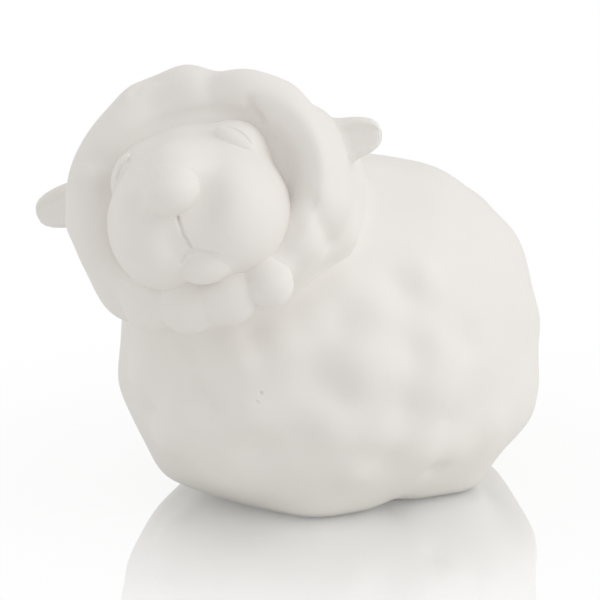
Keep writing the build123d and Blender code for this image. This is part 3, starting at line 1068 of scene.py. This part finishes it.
@dataclass
class Face:
    """The face: two jowls and a brow in one smooth form, with nose, lower lip and eyes."""

    view: PhotoView
    axes: HeadAxes
    finish: bpy.types.Material
    balls: dict[str, Ball] = kept({
        "left jowl": Ball((10.4, -9.5, 22), (16.4, 18.8, 21.5)),
        "right jowl": Ball((-10, -9.5, 22), (16, 18.8, 21.5)),
        "brow": Ball((-0.6, 1.4, 13), (19.5, 18.4, 21)),
        "left eye swelling": Ball((14.6, 8.6, 18), (7.4, 7.4, 9)),
        "right eye swelling": Ball((-13.6, 9.3, 17.5), (7, 7, 8.5)),
        "muzzle": Ball((0, -5, 27), (13, 13, 15)),
        "nose bridge": Ball((0.6, 2, 34.5), (8.4, 9, 11.6)),
    })
    dabs: dict[str, Dab] = kept({
        "hollow by the nose, left": Dab((206, 196), 6.5, -2.4),
        "hollow below the nose, left": Dab((203, 222), 6, -1.6),
        "hollow by the nose, right": Dab((134, 205), 5, -1.4),
        "hollow by the mouth, right": Dab((176, 248), 4, -1.2),
    })
    merge: float = 7.0
    core: Triple = (0.0, -5.0, 16.0)
    # The skin is found within this reach of the core, by halving the way
    core_reach: float = 70.0
    halvings: int = 24
    incisions: dict[str, Incision] = kept({
        "line below the nose": Incision(((176, 208), (179, 222), (184, 236), (192, 250)), 0.45, 1),
        "mouth, left half": Incision(((192, 250), (203, 252), (216, 255)), 0.8, 0.8),
        "mouth, right half": Incision(((191, 250), (186, 254), (181, 262)), 0.7, 0.6),
    })
    right_eye_lids: dict[str, Incision] = kept({
        "upper lid line": Incision(((117, 178), (119, 169), (124, 163), (130, 159)), 0.5, 0.8),
    })
    nose: Ball = Ball((-0.1, -3.9, 43.8), (8.3, 6.6, 7.5))
    nose_bridge_joint: float = 11.0
    nose_tip_joint: float = 1.0
    lip: Ball = Ball((2.0, -24.6, 30.4), (7.4, 5.0, 5.5))
    lip_joint: float = 3.0
    # Half its length, height and depth
    eye_radii: Triple = (6.6, 3.7, 2.8)
    eye_outs: Pair = (17.2, 19.2)
    eye_rises: Pair = (10.0, 8.2)
    eye_slant_degrees: float = 44.0
    eye_prouds: Pair = (-1.3, -0.8)
    # An almond is narrower at its corners by this share
    eye_taper: float = 0.3
    # It is set on the face along the gaze, from this depth
    eye_set_from: float = 90.0
    eye_joint: float = 0.3
    lid_share: float = 0.42
    lid_depth: float = 0.8
    lid_half_width: float = 0.45

    def off_balls(self, points: Points) -> Points:
        """Measure how far points lie outside the merged balls.

        Args:
            points: The points, in the head's axes.

        Returns:
            The distance of each one, below 0 inside.
        """
        merged = np.full(len(points), np.inf)
        for ball in self.balls.values():
            away = points - ball.middle
            shrunk = np.linalg.norm(away / ball.radii, axis=1)
            slope = np.linalg.norm(away / np.square(ball.radii), axis=1)
            off = shrunk * (shrunk - 1) / np.maximum(slope, TINY)
            blend = np.maximum(self.merge - np.abs(merged - off), 0) / self.merge
            merged = np.minimum(merged, off) - blend**2 * self.merge / 4
        return merged

    def shaped(self) -> Clay:
        """Model the face, apart from what it carries.

        Returns:
            Its skin.
        """
        skin = Clay(Fineness.SHELL)
        directions = skin.points
        near, far = np.zeros(len(directions)), np.full(len(directions), self.core_reach)
        for _ in range(self.halvings):
            middle = (near + far) / 2
            outside = self.off_balls(directions * middle[:, None] + self.core) > 0
            far = np.where(outside, middle, far)
            near = np.where(outside, near, middle)
        skin.points = self.axes.placed(directions * near[:, None] + self.core)
        skin.dab(self.view, self.dabs)
        skin.incise(self.view, self.incisions)
        return skin

    def shaped_sprig(self, ball: Ball) -> Clay:
        """Model the nose or the lip, which is one ball.

        Args:
            ball: Its place and size.

        Returns:
            Its skin.
        """
        skin = Clay(Fineness.SPRIG)
        skin.points = self.axes.placed(skin.points * ball.radii + ball.middle)
        return skin

    def shaped_eye(self, side: int, face: BVHTree) -> Clay:
        """Return one eye's skin: an almond with a lid line.

        Args:
            side: 1 for the sheep's left eye and -1 for its right.
            face: The face's skin, on which the eye beds.

        Returns:
            The skin.
        """
        which = SIDES.index(side)
        gaze = self.axes.turned() @ Vector((0, 0, 1))
        out, rise = side * self.eye_outs[which], self.eye_rises[which]
        seat, outward, _, _ = face.ray_cast(self.axes.spot(out, rise, self.eye_set_from), -gaze)
        slant = math.radians(self.eye_slant_degrees)
        long_way = self.axes.turned() @ Vector((side * math.cos(slant), -math.sin(slant), 0))
        long_way = (long_way - outward * long_way.dot(outward)).normalized()
        lid_way = outward.cross(long_way) * side
        skin = Clay(Fineness.SPRIG)
        along, across, up = skin.points.T
        across = across * (1 - self.eye_taper * along**2)
        lid = self.lid_share * (1 - along**2)
        line = bell(across - lid, self.lid_half_width / self.eye_radii[1])
        local = np.stack((along, across, up), axis=1) * self.eye_radii
        local[:, 2] -= np.where(up > 0, self.lid_depth * line * (1 - along**4), 0)
        local[:, 2] += self.eye_prouds[which]
        skin.points = local @ np.array((long_way, lid_way, outward)) + np.array(seat)
        if side < 0:
            skin.turn_out()
            skin.incise(self.view, self.right_eye_lids)
        return skin

    def nose_reach(self, skin: Clay) -> Points:
        """Say how far the joint at the nose reaches: broad on the bridge only.

        Args:
            skin: The skin that is smoothed.

        Returns:
            The reach at each of its points.
        """
        level, half_height = self.nose.middle[1], self.nose.radii[1]
        rise = self.axes.local(skin.points)[:, 1]
        share = eased(rise, level - 1, level + half_height)
        return self.nose_tip_joint + (self.nose_bridge_joint - self.nose_tip_joint) * share

    def dress(self, skin: Clay, nose: Clay, lip: Clay, eyes: Sequence[Clay]) -> None:
        """Put the finished face and what it carries in the scene.

        Args:
            skin: The face's skin.
            nose: The nose's skin.
            lip: The lower lip's skin.
            eyes: The skins of the left and the right eye.
        """
        put_piece(skin, "face_mask", "face", self.finish)
        put_piece(nose, "round_nose", "nose", self.finish)
        put_piece(lip, "lip_pad", "lower_lip", self.finish)
        put_piece(eyes[0], "almond_eye_left", "left_eye", self.finish)
        put_piece(eyes[1], "almond_eye_right", "right_eye", self.finish)


@dataclass
class Sheep:
    """The whole figurine, luted together piece by piece."""

    body: Body
    hood: Hood
    face: Face
    face_joint: float = 0.5

    def build(self) -> None:
        """Model every piece, smooth the joints between them and put them in the scene."""
        body, hood, mask = self.body.shaped(), self.hood.shaped(), self.face.shaped()
        tail, curls = self.body.shaped_tail(), self.hood.shaped_curls()
        nose = self.face.shaped_sprig(self.face.nose)
        lip = self.face.shaped_sprig(self.face.lip)
        ears = [self.hood.shaped_ear(side) for side in SIDES]
        eyes = [self.face.shaped_eye(side, mask.tree()) for side in SIDES]
        pieces = (body, hood, mask, tail, nose, lip, *curls, *ears, *eyes)
        before = {piece: piece.tree() for piece in pieces}

        def join(first: Clay, second: Clay, reach: float) -> None:
            """Smooth the joint between two pieces as they were before any joint, on both."""
            first.lute(before[second], reach)
            second.lute(before[first], reach)

        join(body, hood, self.body.joint)
        join(body, tail, self.body.joint)
        mask.lute(before[nose], self.face.nose_reach(mask))
        nose.lute(before[mask], self.face.nose_reach(nose))
        join(mask, lip, self.face.lip_joint)
        join(mask, hood, self.face_joint)
        for eye in eyes:
            join(mask, eye, self.face.eye_joint)
        for ear in ears:
            join(hood, ear, self.hood.ear_joint)
        for index, curl in enumerate(curls):
            last = index == self.hood.curl_count - 1
            hood.lute(before[curl], self.hood.last_curl_joint if last else self.hood.curl_joint)
            body.lute(before[curl], self.hood.curl_joint)
            for other in (hood, body, mask, lip):
                curl.lute(before[other], self.hood.curl_joint)
            for gap, reach in enumerate(self.hood.curl_gaps):
                if index in (gap, gap + 1):
                    curl.lute(before[curls[2 * gap + 1 - index]], reach)

        self.body.dress(body, tail)
        self.hood.dress(hood, ears, curls)
        self.face.dress(mask, nose, lip, eyes)


@dataclass(frozen=True)
class SoftLamp:
    """A square lamp that faces the figurine: its place and width in metres, its light in watts."""

    name: str
    place: Triple
    power: float
    width: float

    def put(self, target: Vector) -> None:
        """Put the lamp in the scene.

        Args:
            target: The place that it faces, in metres.
        """
        light = bpy.data.lights.new(self.name, "AREA")
        light.energy = self.power
        light.size = self.width
        lamp = put_object(self.name, light)
        lamp.location = self.place
        lamp.rotation_euler = (target - Vector(self.place)).to_track_quat("-Z", "Y").to_euler()


@dataclass
class Studio:
    """The table, the soft lights, the white surround and the camera."""

    view: PhotoView
    table: GlossTable = GlossTable()
    table_half_size: float = 3.0
    table_cells: int = 8
    surround_strength: float = 0.73
    key: SoftLamp = SoftLamp("key_light", (1.3, 0.7, 1.1), power=8.4, width=1.2)
    fill: SoftLamp = SoftLamp("fill_light", (-1.2, -0.9, 0.25), power=1.6, width=1.0)
    # The camera's own sizes: millimetres for its sensor, metres for how far it sees
    sensor_width: float = 36.0
    sight: float = 20.0

    def surround(self) -> None:
        """Surround the scene with soft light that the camera and mirrors see as plain white."""
        world = bpy.data.worlds.new("soft_white_surround")
        bpy.context.scene.world = world
        tree = empty_tree(world)
        soft, white = (
            add_node(tree, "ShaderNodeBackground", {"Color": colour(WHITE), "Strength": strength})
            for strength in (self.surround_strength, 1.0)
        )
        chosen = add_node(tree, "ShaderNodeMixShader", {0: looked_at(tree), 1: soft, 2: white})
        add_node(tree, "ShaderNodeOutputWorld", {"Surface": chosen})

    def lay_table(self) -> None:
        """Lay the table top under the figurine."""
        top = bmesh.new()
        cells = self.table_cells
        bmesh.ops.create_grid(top, x_segments=cells, y_segments=cells, size=self.table_half_size)
        mesh = bpy.data.meshes.new("table_top")
        top.to_mesh(mesh)
        top.free()
        mesh.materials.append(self.table.made())
        table = put_object("table_top", mesh)

    def set_camera(self) -> None:
        """Set the camera where the photograph was taken."""
        lens = bpy.data.cameras.new("photo_camera")
        lens.sensor_width = self.sensor_width
        lens.lens = self.sensor_width * self.view.distance / self.view.field_width
        lens.clip_end = self.sight
        camera = put_object("photo_camera", lens)
        camera.location = self.view.place() * MM
        camera.rotation_euler = self.view.toward().to_track_quat("Z", "Y").to_euler()
        bpy.context.scene.camera = camera

    def build(self) -> None:
        """Set up everything that isn't the figurine."""
        bpy.context.scene.view_settings.view_transform = "Standard"
        self.surround()
        for lamp in (self.key, self.fill):
            lamp.put(self.view.target * MM)
        self.lay_table()
        self.set_camera()
        LOG.info("studio is set")


def main() -> None:
    """Build the figurine and its studio."""
    logging.basicConfig(level=logging.INFO, format="%(name)s: %(message)s")
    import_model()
    view, axes, finish = PhotoView(), HeadAxes(), Bisque().made()
    sheep = Sheep(Body(view, finish), Hood(view, axes, finish), Face(view, axes, finish))
    sheep.build()
    Studio(view).build()


if __name__ == "__main__":
    main()
